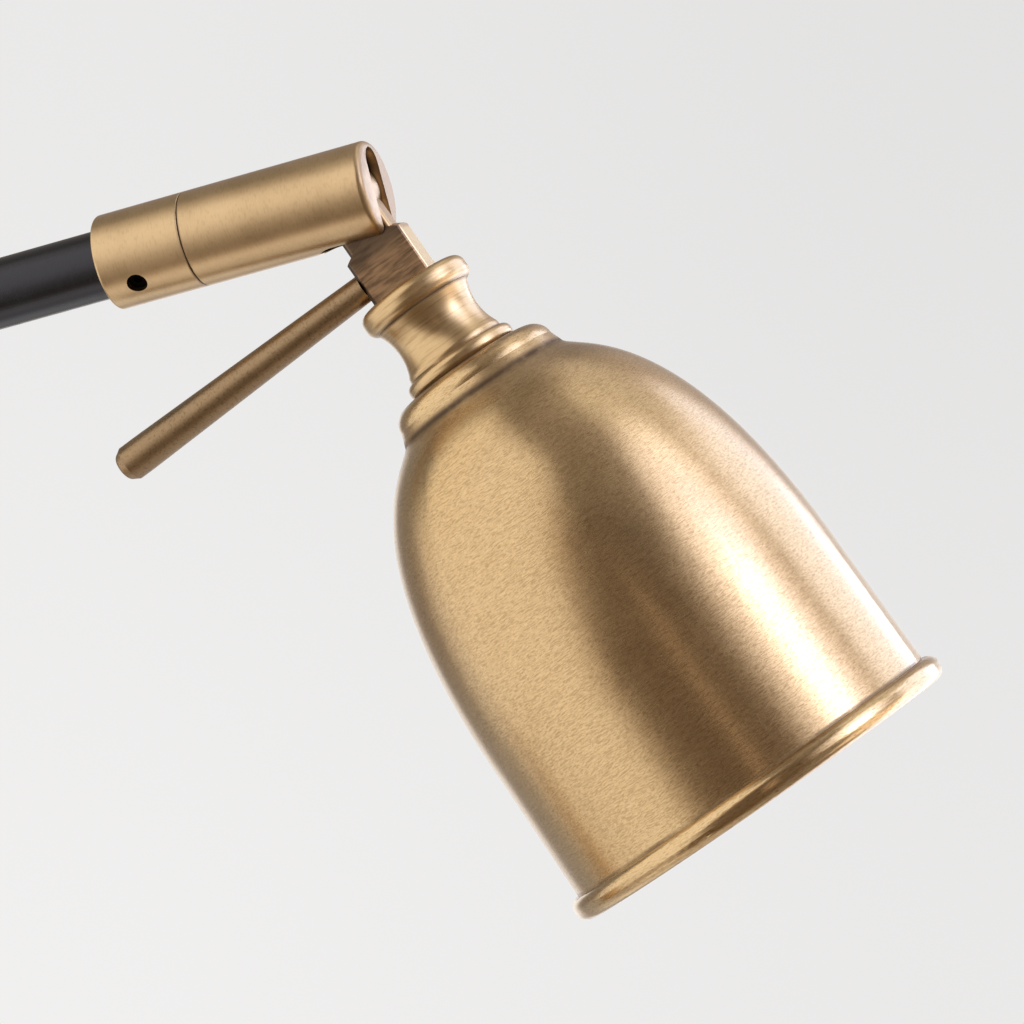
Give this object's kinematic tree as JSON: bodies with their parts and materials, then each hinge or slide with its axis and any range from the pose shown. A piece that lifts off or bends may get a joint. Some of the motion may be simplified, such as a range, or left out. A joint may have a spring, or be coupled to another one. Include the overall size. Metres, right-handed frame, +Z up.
{
  "type": "swing arm desk lamp",
  "caption": "Desk lamp with a weighted round base, black post and arm, brass knuckle joints, a tilt handle rod and a swivelling bell shade.",
  "frame": {"origin": "centre of the base's underside, on the desk", "axes": "+Z up along the post, +X along the arm at rest, Y along both hinge pins"},
  "size_m": [0.5022, 0.172, 0.4357],
  "materials": {
    "aged_brass": "aged satin brass, brushed round its axis",
    "black_tube": "satin black stove enamel",
    "iron": "as cast",
    "felt": "pressed felt",
    "steel": "zinc plated",
    "dark_steel": "black oxide",
    "fibre": "brown fibre",
    "black_plastic": "moulded black",
    "porcelain": "glazed porcelain",
    "lamp_white": "moulded white",
    "lamp_lens": "frosted"
  },
  "bodies": {
    "base": {"base_cover": "aged_brass", "base_weight": "iron", "base_plate": "steel", "base_pad": "felt", "base_screws": "steel", "cord_gland": "black_plastic", "switch_body": "black_plastic", "switch_bezel": "aged_brass", "post_nipple": "steel", "post_washer": "steel", "post_nut": "steel", "post_foot": "aged_brass", "post_foot_screw": "dark_steel", "post_tube": "black_tube", "post_collar": "aged_brass", "post_collar_screw": "dark_steel"},
    "button": {"switch_button": "aged_brass"},
    "swing": {"swing_stud": "steel", "swing_spring_washer": "steel", "swing_washer": "fibre", "swing_knuckle": "aged_brass", "arm_pivot_screw": "dark_steel", "arm_pivot_washers": "fibre"},
    "arm": {"arm_tongue": "aged_brass", "arm_socket": "aged_brass", "arm_socket_screw": "dark_steel", "arm_tube": "black_tube", "head_collar": "aged_brass", "head_collar_screw": "dark_steel"},
    "swivel": {"swivel_stud": "steel", "swivel_spring_washer": "steel", "swivel_washer": "fibre", "head_knuckle": "aged_brass", "head_pivot_screw": "dark_steel", "head_pivot_washers": "fibre"},
    "head": {"head_tongue": "aged_brass", "tilt_handle": "aged_brass", "neck": "aged_brass", "shade_nipple": "steel", "shade": "aged_brass", "shade_nut": "steel", "holder_bracket": "steel", "holder_screws": "steel", "lampholder": "porcelain", "lamp_body": "lamp_white", "lamp_lens": "lamp_lens", "lamp_pins": "aged_brass"}
  },
  "joints": [
    {"name": "arm_swing", "type": "hinge", "parent": "base", "child": "swing", "pos_m": [0, 0, 0.34], "axis": [0, 0, 1], "range_deg": [-170, 170]},
    {"name": "arm_tilt", "type": "hinge", "parent": "swing", "child": "arm", "pos_m": [0, 0, 0.34], "axis": [0, 1, 0], "range_deg": [-70, 20]},
    {"name": "head_swivel", "type": "hinge", "parent": "arm", "child": "swivel", "pos_m": [0.30829, 0, 0.42579], "axis": [0.9634, 0, 0.2681], "range_deg": [-170, 170]},
    {"name": "head_tilt", "type": "hinge", "parent": "swivel", "child": "head", "pos_m": [0.30829, 0, 0.42579], "axis": [0, 1, 0], "range_deg": [-69, 20]},
    {"name": "switch_press", "type": "slide", "parent": "base", "child": "button", "axis": [0, 0, -1], "range_m": [0, 0.0025], "stiffness_N_per_m": 300, "springref_m": -0.003}
  ]
}
